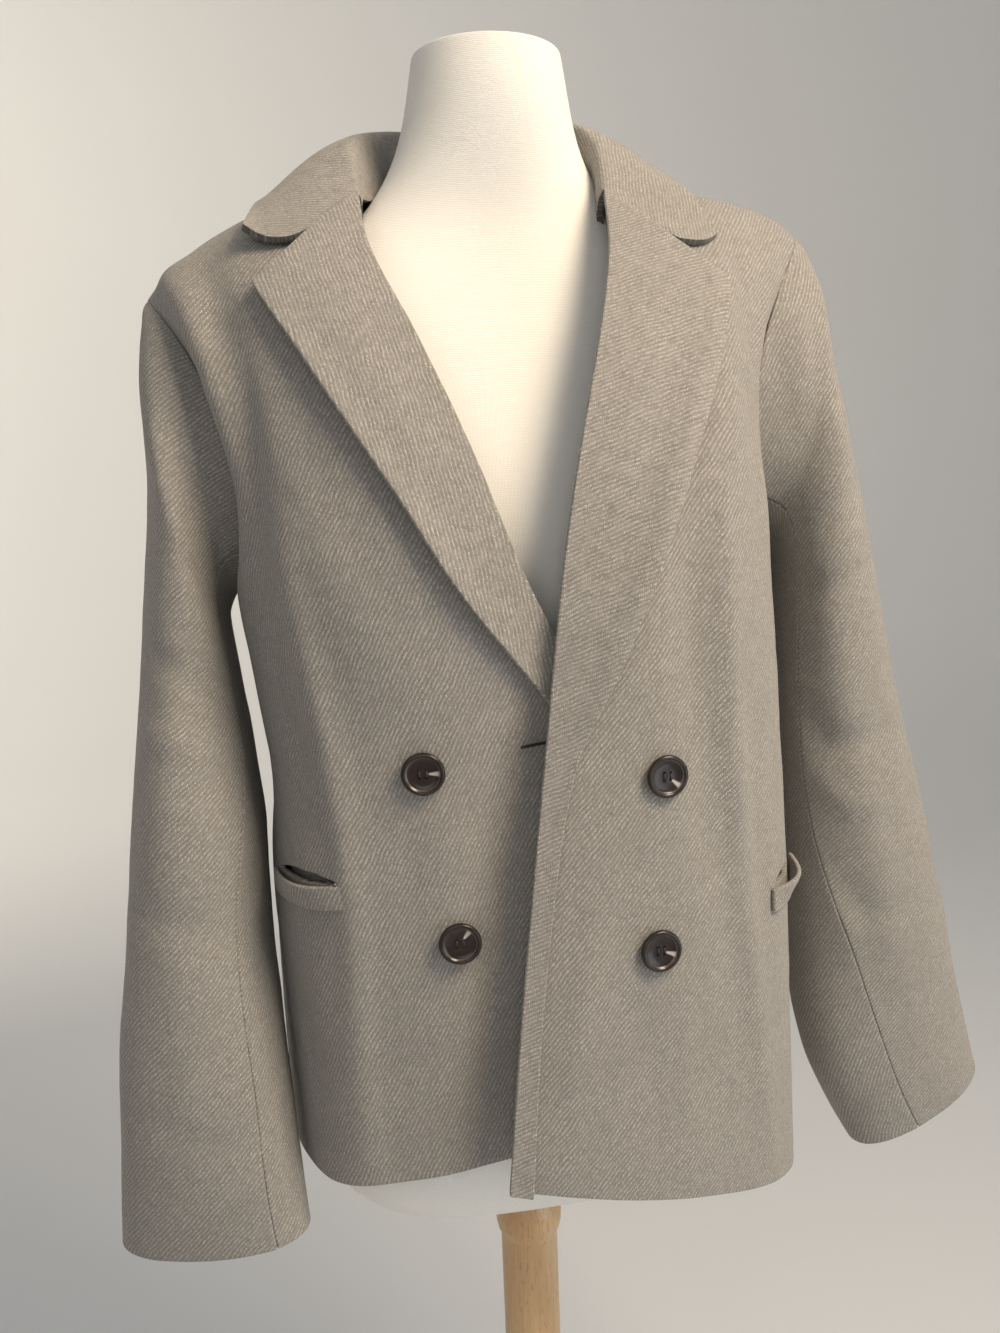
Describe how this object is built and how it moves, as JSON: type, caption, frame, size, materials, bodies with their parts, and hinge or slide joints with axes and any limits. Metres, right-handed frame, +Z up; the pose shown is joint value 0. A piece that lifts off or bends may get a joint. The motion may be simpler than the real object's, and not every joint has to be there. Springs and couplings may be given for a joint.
{
  "type": "tweed peacoat on a limbless dress form",
  "caption": "Short double-breasted tweed coat with notched lapels, long sleeves and welt pockets, worn open on a limbless dress form with a turned wood stand.",
  "frame": {"origin": "middle of the foot of the stand, on the surface that it stands on", "axes": "+Z up the post, the coat's front faces -Y, and the wearer's left is at +X"},
  "size_m": [0.6727, 0.34, 1.5],
  "materials": {
    "tweed": "heavy heathered grey-beige twill tweed with a soft nap",
    "jersey": "off-white fine jersey stretched over the form",
    "beech": "light turned wood, satin varnish",
    "horn": "polished dark horn with pale streaks"
  },
  "bodies": {
    "root": {"back": "tweed", "front_right": "tweed", "front_left": "tweed", "lapel_right": "tweed", "lapel_left": "tweed", "collar": "tweed", "collar_stand": "tweed", "sleeve_right_upper": "tweed", "sleeve_right_under": "tweed", "sleeve_left_upper": "tweed", "sleeve_left_under": "tweed", "pocket_welt_right": "tweed", "pocket_welt_left": "tweed", "pocket_bag_right": "tweed", "pocket_bag_left": "tweed", "button_1": "horn", "button_2": "horn", "button_3": "horn", "button_4": "horn", "form_body": "jersey", "stand_post": "beech", "stand_base": "beech"}
  },
  "joints": []
}
